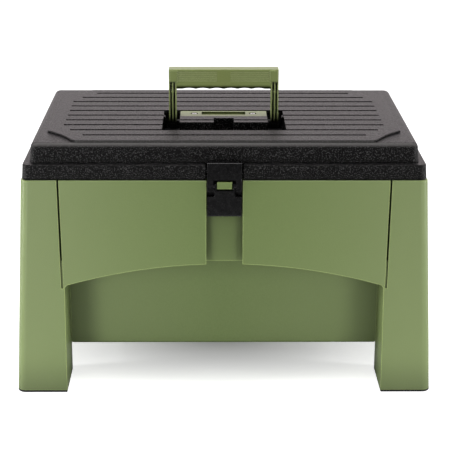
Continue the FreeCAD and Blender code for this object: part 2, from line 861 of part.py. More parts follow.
def lid_lip():
    """Ring that drops inside the bin and keeps the lid in place, on a wider root."""
    lip = box("lip_block", both("lip_x"), both("lip_y"), ("rim_height - lip_drop", "tier_base"))
    root_z = ("rim_height + lip_root", "tier_base - lid_wall / 2")
    root_y = tier_range("lid_wall / 2", "lid_wall / 2")
    root = box("lip_root_block", both("tier_x - lid_wall / 2"), root_y, root_z)
    space = box(
        "lip_space",
        both("lip_x - lid_wall"),
        both("lip_y - lid_wall"),
        ("rim_height - lip_drop - cutter_margin", "tier_base + cutter_margin"),
    )
    return cut("lid_lip", fuse("lip_joined", lip, root), space)


def lid_knuckles():
    """Add the lid's hinge knuckles, each on a short web from the skirt."""
    knuckles = []
    for side, middle in hinge_stations():
        x = around(middle, "lid_knuckle")
        y = ("lid_y - lid_foot - lid_wall / 2", "hinge_y")
        z = ("rim_height + web_clearance", "hinge_z + knuckle_radius - knuckle_relief")
        knuckles.append(box(f"knuckle_web_{SIDE[side]}", x, y, z))
        knuckles.append(rod(f"knuckle_{SIDE[side]}", "x", x, ("hinge_y", "hinge_z"), "knuckle_radius"))
    return knuckles


def island_space():
    """Hollow under the island, kept clear of the finger notch's walls."""
    space = box(
        "island_hollow_block",
        both("island_x - well_wall"),
        ("island_front + well_wall", "well_back - well_wall"),
        ("well_floor - well_wall - cutter_margin", "plate_seat - lid_wall"),
    )
    notch_walls = box(
        "notch_walls",
        both("notch_width / 2 + well_wall"),
        ("island_front", "notch_back + well_wall"),
        ("well_floor - well_wall", "tread_top"),
    )
    return cut("island_hollow", space, notch_walls)


def handle_sockets():
    """Add the open-topped sockets in the island's sides, which the retainer plate closes."""
    sockets = []
    place = ("pivot_place", "pivot_z")
    for side in SIGNS:
        span = sided(side, "island_x - pivot_engagement - pivot_end_gap", "island_x + cutter_margin")
        sockets.append(rod(f"socket_{SIDE[side]}", "x", span, place, "socket_radius"))
        way_in = around("pivot_place", "2 * socket_radius")
        way_z = ("pivot_z", "plate_seat + cutter_margin")
        sockets.append(box(f"socket_way_{SIDE[side]}", span, way_in, way_z))
    return sockets


def well_nubs():
    """Add the small nub on each side wall of the well, next to the handle's foot."""
    along = around("nub_place", "nub_length")
    return [
        rod(f"well_nub_{SIDE[side]}", "y", along, (f"{side} * well_x", "tread_top - nub_drop"), "nub_radius")
        for side in SIGNS
    ]


def make_lid():
    """Lid: the outside form hollowed from below, with the handle's well, ribs, lip and knuckles."""
    shell = well_shell()
    lid = cut("lid_shell", lid_form(), lid_hollow(shell))
    well = box(
        "well_block",
        both("well_x"),
        ("well_front", "well_back"),
        ("well_floor", "tread_top + cutter_margin"),
    )
    island = box(
        "island_block",
        both("island_x"),
        ("island_front", "well_back + cutter_margin"),
        ("well_floor - cutter_margin", "tread_top + 2 * cutter_margin"),
    )
    lid = cut("lid_with_well", lid, cut("well_space", well, island), island_space())

    latch_pad = box(
        "latch_pad",
        both("latch_x + lid_wall"),
        ("-(lid_y - lid_wall / 2)", "-(tier_y - lid_wall)"),
        ("lid_base", "tier_base - lid_wall / 2"),
    )
    bosses = [
        rod(
            f"screw_boss_{SIDE[side]}",
            "z",
            ("plate_seat - lid_wall - boss_length", "plate_seat - lid_wall / 2"),
            (f"{side} * screw_spread", "screw_place"),
            "boss_radius",
        )
        for side in SIGNS
    ]
    added = [lid_ribs(shell), lid_lip(), latch_pad, *bosses, *lid_knuckles(), *well_nubs()]
    lid = fuse("lid_joined", lid, *added)

    notch = box(
        "finger_notch",
        both("notch_width / 2"),
        ("island_front - cutter_margin", "notch_back"),
        ("well_floor", "tread_top + cutter_margin"),
    )
    seat = box(
        "plate_seat_space",
        both("island_x + cutter_margin"),
        ("plate_front - plate_fit", "plate_back + plate_fit"),
        ("plate_seat", "tread_top + cutter_margin"),
    )
    latch_gap = box(
        "latch_notch_space",
        both("latch_x"),
        ("-(lid_y + cutter_margin)", "-(tier_y)"),
        ("lid_base - cutter_margin", "tier_base + cutter_margin"),
    )
    drills = [
        rod(
            f"screw_hole_{SIDE[side]}",
            "z",
            ("screw_tip", "plate_seat + cutter_margin"),
            (f"{side} * screw_spread", "screw_place"),
            "screw_radius + pin_clearance",
        )
        for side in SIGNS
    ]
    drills += [
        rod(
            f"peg_hole_{SIDE[side]}",
            "y",
            ("-(tier_y + cutter_margin)", "-(tier_y - lid_wall - cutter_margin)"),
            (f"{side} * peg_spread", "peg_z"),
            "peg_radius + pin_clearance",
        )
        for side in SIGNS
    ]
    peg_room = box(
        "peg_room",
        both("peg_spread + peg_head_radius + lip_clearance"),
        ("-(tier_y - lid_wall)", "-(lip_y - lid_wall - cutter_margin)"),
        ("rim_height - lip_drop - cutter_margin", "peg_z + peg_head_radius + lip_clearance"),
    )
    tools = [notch, seat, latch_gap, peg_room, *drills, *grooves(), *handle_sockets()]
    tools += hinge_bores("lid")
    return named("lid", cut("lid_cut", lid, *tools))


def make_retainer():
    """Plate that closes the handle's sockets, with a dish in its top and bored for two screws."""
    body = doc.addObject("PartDesign::Body", "retainer")
    x = both("island_x")
    outline = rect_sketch(body, "retainer_outline", "plate_seat", x, ("plate_front", "plate_back"))
    plate = feature(body, "Pad", "retainer_plate", outline, "plate_thickness")
    dressed(body, "Fillet", "retainer_edge", plate, level("tread_top"), Radius="plate_edge")
    dish = rect_sketch(body, "dish_outline", "tread_top", both("dish_width / 2"), ("dish_front", "dish_back"))
    feature(body, "Pocket", "dish", dish, "dish_depth")
    places = [(f"{side} * screw_spread", "screw_place") for side in SIGNS]
    bore = circle_sketch(body, "bore_outline", "tread_top", places, "screw_bore")
    feature(body, "Pocket", "head_bores", bore, "screw_head_height + screw_head_sink")
    clear = circle_sketch(body, "clear_outline", "tread_top", places, "screw_clear")
    feature(body, "Pocket", "screw_holes", clear, "plate_thickness + cutter_margin")
    return named("handle_retainer", body)


def make_screws():
    """Two cross-head screws that hold the retainer plate."""
    screws = []
    top = "tread_top - screw_head_sink"
    for side in SIGNS:
        place = (f"{side} * screw_spread", "screw_place")
        head_z = (f"{top} - screw_head_height", top)
        head = rod(f"screw_head_{SIDE[side]}", "z", head_z, place, "screw_head_radius")
        shank = rod(
            f"screw_shank_{SIDE[side]}",
            "z",
            ("screw_tip + cutter_margin", top),
            place,
            "screw_radius",
        )
        depth = (f"{top} - cross_depth", f"{top} + cutter_margin")
        across, along = around(place[0], "cross_length"), around(place[1], "cross_width")
        bar = box(f"cross_bar_{SIDE[side]}", across, along, depth)
        across, along = around(place[0], "cross_width"), around(place[1], "cross_length")
        post = box(f"cross_post_{SIDE[side]}", across, along, depth)
        screws.append(cut(f"screw_{SIDE[side]}", fuse(f"screw_blank_{SIDE[side]}", head, shank), bar, post))
    pair = doc.addObject("Part::Compound", "screw_pair")
    pair.Links = screws
    return named("retainer_screws", pair)


def grip():
    """Bar of the handle, with waves and lines cut in it and a raised panel at each end of its front."""
    bar = box("grip_bar", both("handle_x"), ("grip_front", "grip_back"), ("grip_low", "grip_top"))
    bar = rounded("grip_low_rounded", bar, "grip_low_edge", lengthwise("grip_low"))
    bar = rounded("grip_rounded", bar, "grip_top_edge", lengthwise("grip_top"))
    bar = cut("grip_cut", bar, *grip_cuts())
    panels = [
        box(
            f"grip_panel_{SIDE[side]}",
            sided(side, "handle_x - panel_inset - panel_width", "handle_x - panel_inset"),
            ("grip_front - panel_rise", "grip_front + joint_overlap"),
            ("pivot_z + slot_reach", "grip_top - panel_drop"),
        )
        for side in SIGNS
    ]
    return [bar, *panels]


def grip_cuts():
    """Finger waves under the grip, and the fine lines on its front and back."""
    wave = "((finger_pitch / 2) ^ 2 + finger_depth ^ 2) / (2 * finger_depth)"
    cuts = [
        rod(
            f"finger_wave_{n}",
            "y",
            ("grip_front - cutter_margin", "grip_back + cutter_margin"),
            (f"{n - (FINGER_WAVES - 1) / 2} * finger_pitch", f"grip_low + finger_depth - {wave}"),
            wave,
        )
        for n in range(FINGER_WAVES)
    ]
    for face, place in (("front", "grip_front"), ("back", "grip_back")):
        for side in SIGNS:
            for n in range(GRIP_LINES):
                middle = f"grip_top - line_top - {n} * line_pitch"
                cuts.append(box(
                    f"grip_line_{face}_{SIDE[side]}_{n}",
                    sided(side, "line_inner", "line_outer"),
                    around(place, "2 * line_depth"),
                    around(middle, "line_width"),
                ))
    return cuts


def arm_bar(side):
    """One arm: a bar as far forward as the grip, round at its lower end."""
    x = sided(side, "handle_x - arm_width", "handle_x")
    bar = box(f"arm_bar_{SIDE[side]}", x, ("grip_front", "arm_back"), ("pivot_z", "grip_top - grip_low_edge"))
    eye = rod(f"arm_eye_{SIDE[side]}", "x", x, ("arm_middle", "pivot_z"), "(arm_back - grip_front) / 2")
    return [bar, eye]


def arm_slots(side):
    """Two deep slots in the front of an arm, which run up into the grip."""
    slots = []
    for n in (1, 2):
        near = f"handle_x - {n} * (rib_width + arm_slot)"
        slots.append(box(
            f"arm_slot_{SIDE[side]}_{n}",
            sided(side, near, f"{near} + arm_slot"),
            ("grip_front - cutter_margin", "arm_back - arm_web"),
            ("pivot_z", "pivot_z + slot_reach"),
        ))
    return slots


def arm_fittings(side):
    """The tie across an arm's middle rib, and the stub that the arm turns on."""
    tie = rod(
        f"arm_tie_{SIDE[side]}",
        "y",
        ("grip_front + joint_overlap", "arm_back - joint_overlap"),
        (f"{side} * (handle_x - arm_width / 2)", "pivot_z + tie_reach"),
        "tie_radius",
    )
    span = sided(side, "island_x - pivot_engagement", "handle_x - arm_width + joint_overlap")
    stub = rod(f"stub_{SIDE[side]}", "x", span, ("pivot_place", "pivot_z"), "pivot_radius")
    return [tie, stub]


def make_handle():
    """Carrying handle, standing up: one moulding with its pivot stubs."""
    blank = fuse("handle_blank", *grip(), *arm_bar(-1), *arm_bar(1))
    slotted = cut("handle_slotted", blank, *arm_slots(-1), *arm_slots(1))
    return named("carry_handle", fuse("handle_joined", slotted, *arm_fittings(-1), *arm_fittings(1)))


def make_bracket():
    """Latch bracket: a block in the lid's notch with two legs, a tail behind each and two staked pegs."""
    block_z = ("rim_height + bracket_lift", "tier_base + bracket_rise")
    front, seat = "-(latch_y)", "-(tier_y + bracket_fit)"
    block = box("bracket_block", both("bracket_x"), (front, seat), block_z)
    block = rounded("bracket_rounded", block, "bracket_edge", lengthwise("tier_base + bracket_rise"))
    pieces = [block]
    for side in SIGNS:
        leg_x = sided(side, "neck_x + neck_gap", "bracket_x")
        leg_y = (front, "-(latch_y - leg_thickness)")
        leg_head = "rim_height + 2 * bracket_lift"
        pieces.append(box(f"bracket_leg_{SIDE[side]}", leg_x, leg_y, ("leg_low", leg_head)))
        behind = "latch_y - leg_thickness"
        pieces.append(box(
            f"bracket_tail_{SIDE[side]}",
            sided(side, "window_x", "bracket_x"),
            (f"-({behind} + joint_overlap)", f"-({behind} - tail_thickness)"),
            ("lever_shoulder - tail_drop", leg_head),
        ))
        place = (f"{side} * peg_spread", "peg_z")
        inside = "-(tier_y - lid_wall - pin_clearance)"
        peg = ("-(tier_y + bracket_fit + joint_overlap)", f"{inside} + peg_head_height / 2")
        pieces.append(rod(f"peg_{SIDE[side]}", "y", peg, place, "peg_radius"))
        head = (inside, f"{inside} + peg_head_height")
        pieces.append(rod(f"peg_head_{SIDE[side]}", "y", head, place, "peg_head_radius"))
    sockets = rod(
        "trunnion_sockets",
        "x",
        both("socket_reach + pin_clearance"),
        ("-(trunnion_y)", "trunnion_z"),
        "trunnion_radius + pin_clearance",
    )
    return named("latch_bracket", cut("bracket_cut", fuse("bracket_joined", *pieces), sockets))


def make_lever():
    """Latch lever: a pull plate under a neck, with a window round the catch and two trunnions."""
    y = ("-(lever_front)", "-(lever_back)")
    plate = box("lever_plate", both("bracket_x"), y, ("lever_low", "lever_shoulder"))
    neck = box("lever_neck", both("neck_x"), y, ("lever_shoulder - joint_overlap", "lever_top"))
    window = box(
        "lever_window",
        both("window_x"),
        ("-(lever_front + cutter_margin)", "-(lever_back - cutter_margin)"),
        ("window_low", "lever_top + cutter_margin"),
    )
    trunnions = [
        rod(
            f"trunnion_{SIDE[side]}",
            "x",
            sided(side, "window_x + joint_overlap", "socket_reach"),
            ("-(trunnion_y)", "trunnion_z"),
            "trunnion_radius",
        )
        for side in SIGNS
    ]
    bare = cut("lever_cut", fuse("lever_blank", plate, neck), window)
    corners = crossways(("bracket_x", "lever_shoulder"), ("neck_x", "lever_shoulder"))
    bare = rounded("lever_shoulders", bare, "shoulder_radius", corners)
    bare = rounded("lever_ends", bare, "lever_edge", lengthwise("lever_low", "lever_top"))
    return named("latch_lever", fuse("lever_joined", bare, *trunnions))


def make_hinge_pin(side, middle):
    """Steel pin through one hinge's three knuckles."""
    span = around(middle, "hinge_length")
    pin = rod(f"pin_{SIDE[side]}", "x", span, ("hinge_y", "hinge_z"), "hinge_pin_radius")
    return named(f"hinge_pin_{SIDE[side]}", pin)


def make_all():
    """Build every piece of the stool."""
    pieces = [make_body()]
    pieces += [make_foot(end, side) for end in SIGNS for side in SIGNS]
    pieces += [make_hinge_pin(side, middle) for side, middle in hinge_stations()]
    pieces += [make_lid(), make_retainer(), make_screws(), make_handle()]
    pieces += [make_bracket(), make_lever()]
    doc.recompute()
    return pieces


def faults(item):
    """Return what is wrong with one object, if anything."""
    bad = [word for word in item.State if word in ("Invalid", "Error")]
    if hasattr(item, "Shape") and not item.isDerivedFrom("App::OriginFeature"):
        shape = item.Shape
        if shape.isNull():
            bad.append("no shape")
        elif not shape.isValid():
            bad.append("shape not valid")
    return bad


PIECES = make_all()
WRONG = {item.Name: faults(item) for item in doc.Objects if faults(item)}
if WRONG:
    raise RuntimeError(f"not built: {WRONG}")
os.makedirs("parts", exist_ok=True)
for piece in PIECES:
    piece.Shape.exportStep(f"parts/{piece.Label}.step")
    print(piece.Label, len(piece.Shape.Solids), round(piece.Shape.Volume / 1000, 1), "cm3")
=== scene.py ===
import json
import math

import bmesh
import bpy
from mathutils import Matrix, Vector


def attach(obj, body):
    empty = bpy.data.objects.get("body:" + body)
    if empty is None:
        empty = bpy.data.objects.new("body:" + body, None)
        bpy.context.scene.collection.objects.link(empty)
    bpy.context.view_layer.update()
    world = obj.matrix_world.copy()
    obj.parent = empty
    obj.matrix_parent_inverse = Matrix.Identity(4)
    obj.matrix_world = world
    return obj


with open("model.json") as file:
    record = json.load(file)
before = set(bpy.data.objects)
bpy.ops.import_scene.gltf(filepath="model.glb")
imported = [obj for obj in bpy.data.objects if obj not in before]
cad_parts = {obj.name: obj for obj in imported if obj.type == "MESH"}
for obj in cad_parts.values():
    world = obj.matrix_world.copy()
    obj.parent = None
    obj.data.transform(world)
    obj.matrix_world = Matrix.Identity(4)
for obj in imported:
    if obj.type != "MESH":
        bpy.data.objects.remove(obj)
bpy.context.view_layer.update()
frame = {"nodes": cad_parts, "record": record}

scene = bpy.context.scene
nodes = frame["nodes"]
mm = 0.001
noiseSpan = (0.3, 0.7)           # where nearly all values of a noise texture lie
mattGloss = (0.0, 0.5)           # specular level in the deepest nooks, where taking it away is painted shade, and on open faces


# sRGB hex, as shown on screen, to the linear colour that shaders want
def hexColour(code):
    channels = [int(code[i:i + 2], 16) / 255 for i in (1, 3, 5)]
    linear = [c / 12.92 if c <= 0.04045 else ((c + 0.055) / 1.055) ** 2.4 for c in channels]
    return linear + [1.0]


# how many repeats fit in a metre, for a pattern of this many millimetres
def perMetre(millimetres):
    return 1000.0 / millimetres


# adds one node; an input that is a socket is linked, anything else is set as its value
def addNode(tree, kind, inputs=None, **settings):
    node = tree.nodes.new("ShaderNode" + kind)
    for name, value in settings.items():
        setattr(node, name, value)
    for name, value in (inputs or {}).items():
        if isinstance(value, bpy.types.NodeSocket):
            tree.links.new(value, node.inputs[name])
        else:
            node.inputs[name].default_value = value
    return node


def newMaterial(name):
    material = bpy.data.materials.new(name)
    material.use_nodes = True
    material.node_tree.nodes.clear()
    return material, material.node_tree


def finishMaterial(tree, shader):
    addNode(tree, "OutputMaterial", {"Surface": shader.outputs[0]})


# injection-moulded polypropylene from a spark-eroded tool:
# a soft satin face with a fine even grain, and no clear mirror
greenPlastic = {
    "name": "polypropyleneGreenMoulded",
    "colour": "#7e9156",
    "flowColour": "#687b43",     # slightly deeper where the melt ran thick and between the grains
    "flowMm": 90.0,
    "flowDetail": 2.0,
    "grainMm": 1.1,              # real grit is about 0.25 mm, drawn coarser so that it shows
    "grainDetail": 3.0,
    "grainFineness": 0.6,
    "grainHeightMm": 0.13,
    "grainShare": 0.75,          # of the mottling, the rest is flow
    "roughness": (0.34, 0.46),
    "ior": 1.49,
    "shadeReachMm": 45.0,             # how near faces are where painted shade darkens the nooks
    "paintedShadeColour": "#38431f",
    "shadeOpen": (0.1, 0.95),    # how open a spot is where the painted shade is full, and where it ends
    "edgeMm": 1.3,               # edges get a paler painted highlight
    "paintedHighlightColour": "#b4c67c",
    "highlightTurn": (0.995, 0.92),   # cosine of the turn where the painted highlight starts, and where it is full
    "highlightShare": 0.85,
    "edgeSamples": 6,
    "sheenReachMm": (30.0, 200.0),    # a painted sheen makes the outer ends and the legs paler
    "sheenDriftMm": 50.0,        # and not evenly
    "paintedSheenColour": "#84945f",
}
# the handle and its plate are a little warmer in tone, and their slots get darker painted shade
platePlastic = dict(
    greenPlastic,
    name="polypropyleneGreenPlate",
    colour="#8b9757",
    flowColour="#7b8749",
    shadeReachMm=14.0,
    paintedShadeColour="#0d0f08",
    edgeMm=0.8,
)
# painted shade: the arms darken down towards the pivots, and faces that look down darken too
handlePlastic = dict(
    platePlastic,
    name="polypropyleneGreenHandle",
    pivotShadeMm=(243.5, 252.0),  # heights over the floor where the painted shade is full, and where it ends
    paintedPivotShadeColour="#0b0c08",
    edgeMm=0.6,
    paintedHighlightColour="#cfdb9c",
    shadeOpen=(0.2, 0.7),
    underMm=3.0,
    underTurn=(-0.1, -0.55),     # how far a face looks down where the painted shade starts and is full
    paintedUnderShadeColour="#1b2210",
)


def mouldedGreenPolypropylene(settings):
    material, tree = newMaterial(settings["name"])
    place = addNode(tree, "TexCoord").outputs["Object"]
    flow = addNode(tree, "TexNoise", {
        "Vector": place,
        "Scale": perMetre(settings["flowMm"]),
        "Detail": settings["flowDetail"],
    })
    grain = addNode(tree, "TexNoise", {
        "Vector": place,
        "Scale": perMetre(settings["grainMm"]),
        "Detail": settings["grainDetail"],
        "Roughness": settings["grainFineness"],
    })
    mottled = addNode(tree, "Mix", {
        "Factor": settings["grainShare"], "A": flow.outputs[0], "B": grain.outputs[0],
    })
    colour = addNode(tree, "Mix", {
        "Factor": mottled.outputs["Result"],
        "A": hexColour(settings["colour"]),
        "B": hexColour(settings["flowColour"]),
    }, data_type="RGBA")
    # painted sheen, paler towards the outer ends
    along = addNode(tree, "SeparateXYZ", {"Vector": place})
    outward = addNode(tree, "Math", {0: along.outputs["X"]}, operation="ABSOLUTE")
    uneven = addNode(tree, "Math", {
        0: flow.outputs[0], 1: settings["sheenDriftMm"] * mm, 2: outward.outputs[0],
    }, operation="MULTIPLY_ADD")
    paintedSheen = addNode(tree, "MapRange", {
        "Value": uneven.outputs[0],
        "From Min": settings["sheenReachMm"][0] * mm, "From Max": settings["sheenReachMm"][1] * mm,
    })
    colour = addNode(tree, "Mix", {
        "Factor": paintedSheen.outputs[0],
        "A": colour.outputs["Result"],
        "B": hexColour(settings["paintedSheenColour"]),
    }, data_type="RGBA")
    # painted highlight: edges are made paler
    turned = addNode(tree, "Bevel", {
        "Radius": settings["edgeMm"] * mm,
    }, samples=settings["edgeSamples"])
    flat = addNode(tree, "VectorMath", {
        0: turned.outputs[0], 1: addNode(tree, "NewGeometry").outputs["True Normal"],
    }, operation="DOT_PRODUCT")
    paintedLight = addNode(tree, "MapRange", {
        "Value": flat.outputs["Value"],
        "From Min": settings["highlightTurn"][0], "From Max": settings["highlightTurn"][1],
        "To Max": settings["highlightShare"],
    })
    colour = addNode(tree, "Mix", {
        "Factor": paintedLight.outputs[0],
        "A": colour.outputs["Result"],
        "B": hexColour(settings["paintedHighlightColour"]),
    }, data_type="RGBA")
    # painted shade, darker in nooks, recesses and slots
    nook = addNode(tree, "AmbientOcclusion", {"Distance": settings["shadeReachMm"] * mm})
    unshaded = addNode(tree, "MapRange", {
        "Value": nook.outputs["AO"],
        "From Min": settings["shadeOpen"][0], "From Max": settings["shadeOpen"][1],
    })
    colour = addNode(tree, "Mix", {
        "Factor": unshaded.outputs[0],
        "A": hexColour(settings["paintedShadeColour"]),
        "B": colour.outputs["Result"],
    }, data_type="RGBA")
    # painted shade on faces that look down
    if "underMm" in settings:
        rounded = addNode(tree, "Bevel", {
            "Radius": settings["underMm"] * mm,
        }, samples=settings["edgeSamples"])
        facing = addNode(tree, "VectorTransform", {
            "Vector": rounded.outputs[0],
        }, vector_type="NORMAL", convert_from="WORLD", convert_to="OBJECT")
        upright = addNode(tree, "SeparateXYZ", {"Vector": facing.outputs[0]}).outputs["Z"]
        under = addNode(tree, "MapRange", {
            "Value": upright,
            "From Min": settings["underTurn"][0], "From Max": settings["underTurn"][1],
        })
        colour = addNode(tree, "Mix", {
            "Factor": under.outputs[0],
            "A": colour.outputs["Result"],
            "B": hexColour(settings["paintedUnderShadeColour"]),
        }, data_type="RGBA")
    # painted shade, darker down towards the pivots
    if "pivotShadeMm" in settings:
        above = addNode(tree, "MapRange", {
            "Value": along.outputs["Z"],
            "From Min": settings["pivotShadeMm"][0] * mm,
            "From Max": settings["pivotShadeMm"][1] * mm,
        })
        colour = addNode(tree, "Mix", {
            "Factor": above.outputs[0],
            "A": hexColour(settings["paintedPivotShadeColour"]),
            "B": colour.outputs["Result"],
        }, data_type="RGBA")
    rough = addNode(tree, "MapRange", {
        "Value": grain.outputs[0], "From Min": noiseSpan[0], "From Max": noiseSpan[1],
        "To Min": settings["roughness"][0], "To Max": settings["roughness"][1],
    })
    bump = addNode(tree, "Bump", {
        "Height": grain.outputs[0], "Strength": 1.0, "Distance": settings["grainHeightMm"] * mm,
    })
    shader = addNode(tree, "BsdfPrincipled", {
        "Base Color": colour.outputs["Result"],
        "Roughness": rough.outputs[0],
        "Normal": bump.outputs[0],
        "IOR": settings["ior"],
    })
    finishMaterial(tree, shader)
    return material


# injection-moulded polypropylene from an etched tool:
# near black, and pebbled so that it breaks up light in specks
blackPlastic = {
    "colour": "#030303",
    "speckGlintColour": "#484747",   # paler specks, painted glints on the pebble tops
    "speckMm": 1.0,              # pebble tops of about 0.4 mm, drawn coarser so that they show
    "speckSpan": (0.55, 0.67),
    "speckDetail": 1.0,
    "pebbleMm": 2.2,             # etched pebbles of 0.6 to 1 mm, drawn coarser so that they show
    "pebbleDetail": 2.0,
    "pebbleHeightMm": 0.4,
    "roughness": (0.32, 0.48),
    "ior": 1.23,                 # pebbles shade each other, so the face-on gloss is low
    "nookMm": 5.0,               # in grooves and gaps the gloss is taken away, as painted shade
    "nookOpen": (0.3, 0.75),
    "stepFrontMm": (-114.5, -116.5),
    "stepHeightMm": (241.5, 244.5),
    "paintedStripColour": "#5c5a59",     # a painted highlight: the strip in front of the tread and above this height is paler
}


def mouldedBlackPolypropylene(settings):
    material, tree = newMaterial("polypropyleneBlackPebbled")
    place = addNode(tree, "TexCoord").outputs["Object"]
    pebbles = addNode(tree, "TexVoronoi", {
        "Vector": place, "Scale": perMetre(settings["pebbleMm"]), "Randomness": 1.0,
    }, feature="SMOOTH_F1")
    fine = addNode(tree, "TexNoise", {
        "Vector": place,
        "Scale": perMetre(settings["pebbleMm"] / 2),
        "Detail": settings["pebbleDetail"],
    })
    height = addNode(tree, "Math", {
        0: fine.outputs[0], 1: pebbles.outputs["Distance"],
    }, operation="SUBTRACT")
    rough = addNode(tree, "MapRange", {
        "Value": fine.outputs[0], "From Min": noiseSpan[0], "From Max": noiseSpan[1],
        "To Min": settings["roughness"][0], "To Max": settings["roughness"][1],
    })
    specks = addNode(tree, "TexNoise", {
        "Vector": place,
        "Scale": perMetre(settings["speckMm"]),
        "Detail": settings["speckDetail"],
    })
    paintedLight = addNode(tree, "MapRange", {
        "Value": specks.outputs[0],
        "From Min": settings["speckSpan"][0], "From Max": settings["speckSpan"][1],
    })
    # paler specks painted on, as glints of the pebble tops
    colour = addNode(tree, "Mix", {
        "Factor": paintedLight.outputs[0],
        "A": hexColour(settings["colour"]),
        "B": hexColour(settings["speckGlintColour"]),
    }, data_type="RGBA")
    # painted highlight on the strip in front of the tread
    along = addNode(tree, "SeparateXYZ", {"Vector": place})
    ahead = addNode(tree, "MapRange", {
        "Value": along.outputs["Y"],
        "From Min": settings["stepFrontMm"][0] * mm, "From Max": settings["stepFrontMm"][1] * mm,
    })
    raised = addNode(tree, "MapRange", {
        "Value": along.outputs["Z"],
        "From Min": settings["stepHeightMm"][0] * mm, "From Max": settings["stepHeightMm"][1] * mm,
    })
    stepped = addNode(tree, "Math", {
        0: ahead.outputs[0], 1: raised.outputs[0],
    }, operation="MULTIPLY")
    colour = addNode(tree, "Mix", {
        "Factor": stepped.outputs[0],
        "A": colour.outputs["Result"],
        "B": hexColour(settings["paintedStripColour"]),
    }, data_type="RGBA")
    bump = addNode(tree, "Bump", {
        "Height": height.outputs[0], "Strength": 1.0, "Distance": settings["pebbleHeightMm"] * mm,
    })
    # painted shade: the gloss is taken away in grooves and gaps
    nook = addNode(tree, "AmbientOcclusion", {"Distance": settings["nookMm"] * mm})
    gloss = addNode(tree, "MapRange", {
        "Value": nook.outputs["AO"],
        "From Min": settings["nookOpen"][0], "From Max": settings["nookOpen"][1],
        "To Min": mattGloss[0], "To Max": mattGloss[1],
    })
    shader = addNode(tree, "BsdfPrincipled", {
        "Base Color": colour.outputs["Result"],
        "Roughness": rough.outputs[0],
        "Normal": bump.outputs[0],
        "IOR": settings["ior"],
        "Specular IOR Level": gloss.outputs[0],
    })
    finishMaterial(tree, shader)
    return material


# acetal from a polished tool: even black, smoother than the lid, with a faint satin highlight
latchPlastic = {
    "colour": "#0b0b0c",
    "rippleMm": 4.0,
    "rippleDetail": 4.0,
    "rippleHeightMm": 0.02,
    "roughness": (0.22, 0.3),
    "ior": 1.5,
    "nookMm": 3.0,
    "nookOpen": (0.3, 0.75),
}


def mouldedBlackAcetal(settings):
    material, tree = newMaterial("acetalBlackMoulded")
    place = addNode(tree, "TexCoord").outputs["Object"]
    ripple = addNode(tree, "TexNoise", {
        "Vector": place,
        "Scale": perMetre(settings["rippleMm"]),
        "Detail": settings["rippleDetail"],
    })
    rough = addNode(tree, "MapRange", {
        "Value": ripple.outputs[0], "From Min": noiseSpan[0], "From Max": noiseSpan[1],
        "To Min": settings["roughness"][0], "To Max": settings["roughness"][1],
    })
    bump = addNode(tree, "Bump", {
        "Height": ripple.outputs[0], "Strength": 1.0, "Distance": settings["rippleHeightMm"] * mm,
    })
    # painted shade: the gloss is taken away in the gaps
    nook = addNode(tree, "AmbientOcclusion", {"Distance": settings["nookMm"] * mm})
    gloss = addNode(tree, "MapRange", {
        "Value": nook.outputs["AO"],
        "From Min": settings["nookOpen"][0], "From Max": settings["nookOpen"][1],
        "To Min": mattGloss[0], "To Max": mattGloss[1],
    })
    shader = addNode(tree, "BsdfPrincipled", {
        "Base Color": hexColour(settings["colour"]),
        "Roughness": rough.outputs[0],
        "Normal": bump.outputs[0],
        "IOR": settings["ior"],
        "Specular IOR Level": gloss.outputs[0],
    })
    finishMaterial(tree, shader)
    return material


# moulded thermoplastic rubber: dull black with a slight bloom, hardly any highlight
footRubber = {
    "colour": "#151515",
    "bloomColour": "#1f1f1e",
    "bloomMm": 6.0,
    "bloomDetail": 5.0,
    "bloomHeightMm": 0.05,
    "roughness": 0.82,
    "ior": 1.5,
}


def mouldedRubber(settings):
    material, tree = newMaterial("rubberBlackMoulded")
    place = addNode(tree, "TexCoord").outputs["Object"]
    bloom = addNode(tree, "TexNoise", {
        "Vector": place,
        "Scale": perMetre(settings["bloomMm"]),
        "Detail": settings["bloomDetail"],
    })
    colour = addNode(tree, "Mix", {
        "Factor": bloom.outputs[0],
        "A": hexColour(settings["colour"]),
        "B": hexColour(settings["bloomColour"]),
    }, data_type="RGBA")
    bump = addNode(tree, "Bump", {
        "Height": bloom.outputs[0], "Strength": 1.0, "Distance": settings["bloomHeightMm"] * mm,
    })
    shader = addNode(tree, "BsdfPrincipled", {
        "Base Color": colour.outputs["Result"],
        "Roughness": settings["roughness"],
        "Normal": bump.outputs[0],
        "IOR": settings["ior"],
    })
    finishMaterial(tree, shader)
    return material


# cold-headed steel, bright zinc plated: pale grey metal with a soft, slightly cloudy shine
zincSteel = {"colour": "#c9cac8", "cloudMm": 1.2, "cloudDetail": 3.0, "roughness": (0.24, 0.36)}


def platedSteel(settings):
    material, tree = newMaterial("steelZincPlated")
    place = addNode(tree, "TexCoord").outputs["Object"]
    cloud = addNode(tree, "TexNoise", {
        "Vector": place,
        "Scale": perMetre(settings["cloudMm"]),
        "Detail": settings["cloudDetail"],
    })
    rough = addNode(tree, "MapRange", {
        "Value": cloud.outputs[0], "From Min": noiseSpan[0], "From Max": noiseSpan[1],
        "To Min": settings["roughness"][0], "To Max": settings["roughness"][1],
    })
    shader = addNode(tree, "BsdfPrincipled", {
        "Base Color": hexColour(settings["colour"]),
        "Metallic": 1.0,
        "Roughness": rough.outputs[0],
    })
    finishMaterial(tree, shader)
    return material


finishes = {
    "green_plastic": mouldedGreenPolypropylene(greenPlastic),
    "black_plastic": mouldedBlackPolypropylene(blackPlastic),
    "latch_plastic": mouldedBlackAcetal(latchPlastic),
    "foot_rubber": mouldedRubber(footRubber),
    "steel": platedSteel(zincSteel),
}
ownFinish = {
    "carry_handle": mouldedGreenPolypropylene(handlePlastic),
    "handle_retainer": mouldedGreenPolypropylene(platePlastic),
}
for part in frame["record"]["subparts"]:
    mesh = nodes[part["node"]].data
    mesh.materials.clear()
    mesh.materials.append(ownFinish.get(part["node"], finishes[part["material_slot"]]))
print("finishes set on", len(nodes), "pieces")

